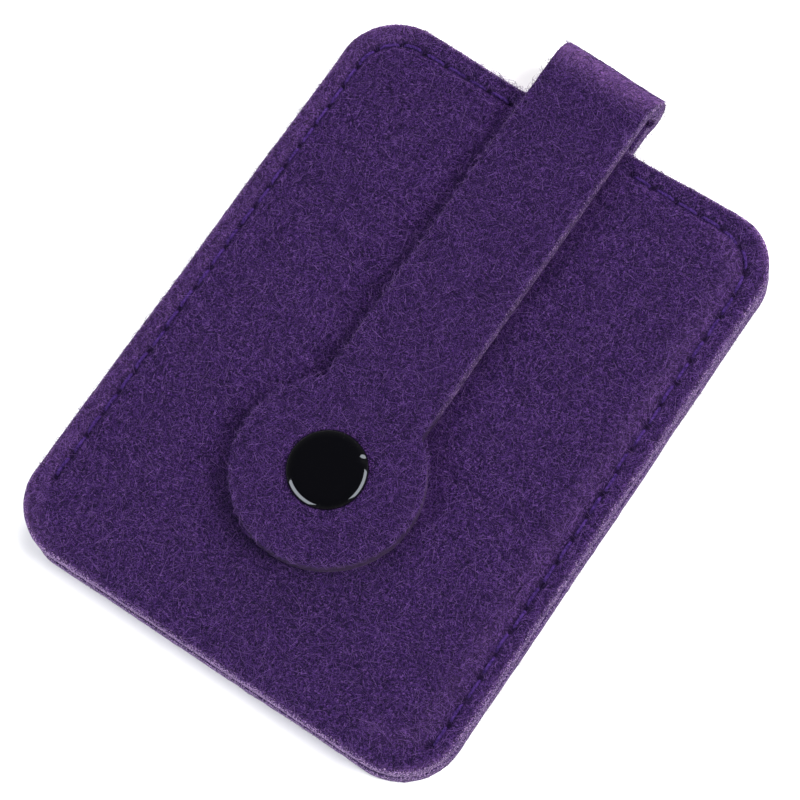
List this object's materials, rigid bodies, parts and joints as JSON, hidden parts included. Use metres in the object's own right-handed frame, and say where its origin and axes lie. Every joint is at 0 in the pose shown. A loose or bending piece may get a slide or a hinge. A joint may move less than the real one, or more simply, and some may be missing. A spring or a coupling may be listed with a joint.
{
  "type": "needle case",
  "caption": "Flat felt needle case with a folded pull strap, a press stud and a sliding felt leaf that holds sewing needles.",
  "frame": {"origin": "middle of the back panel's outer face, the face that the case lies on", "axes": "+X across the case, +Y along it from the open mouth to the strap slot, +Z out of the front panel"},
  "size_m": [0.075, 0.1104, 0.0126],
  "materials": {
    "felt": "thick pressed wool felt, matt, hairy",
    "leaf_felt": "thin wool felt, matt",
    "thread": "twisted polyester sewing thread",
    "snap_plastic": "moulded, polished",
    "needle_steel": "polished nickel plate",
    "rivet_brass": "polished"
  },
  "bodies": {
    "case": {"back_panel": "felt", "front_panel": "felt", "left_needle_thread": "thread", "right_needle_thread": "thread", "left_bobbin_thread": "thread", "right_bobbin_thread": "thread", "strap_slot_length": "felt", "snap_stud": "snap_plastic", "snap_stud_cap": "snap_plastic"},
    "leaf": {"needle_leaf": "leaf_felt", "strap_tail": "felt", "strap_rivet_cap": "rivet_brass", "strap_rivet_post": "rivet_brass", "needle_1": "needle_steel", "needle_2": "needle_steel", "needle_3": "needle_steel", "needle_4": "needle_steel", "needle_5": "needle_steel", "needle_6": "needle_steel"},
    "loop": {"strap_loop": "felt"},
    "flap": {"strap_flap": "felt", "snap_cap": "snap_plastic", "snap_socket": "snap_plastic"}
  },
  "joints": [
    {"name": "leaf_slide", "type": "slide", "parent": "case", "child": "leaf", "axis": [0, -1, 0], "range_m": [0, 0.062]},
    {"name": "strap_lower_bend", "type": "hinge", "parent": "case", "child": "loop", "pos_m": [0, 0.05898, 0.00342], "axis": [-1, 0, 0], "range_deg": [0, 90]},
    {"name": "strap_upper_bend", "type": "hinge", "parent": "loop", "child": "flap", "pos_m": [0, 0.05898, 0.01028], "axis": [-1, 0, 0], "range_deg": [0, 90]}
  ],
  "couplings": [
    {"joint": "strap_upper_bend", "follows": "strap_lower_bend", "ratio": 1}
  ]
}
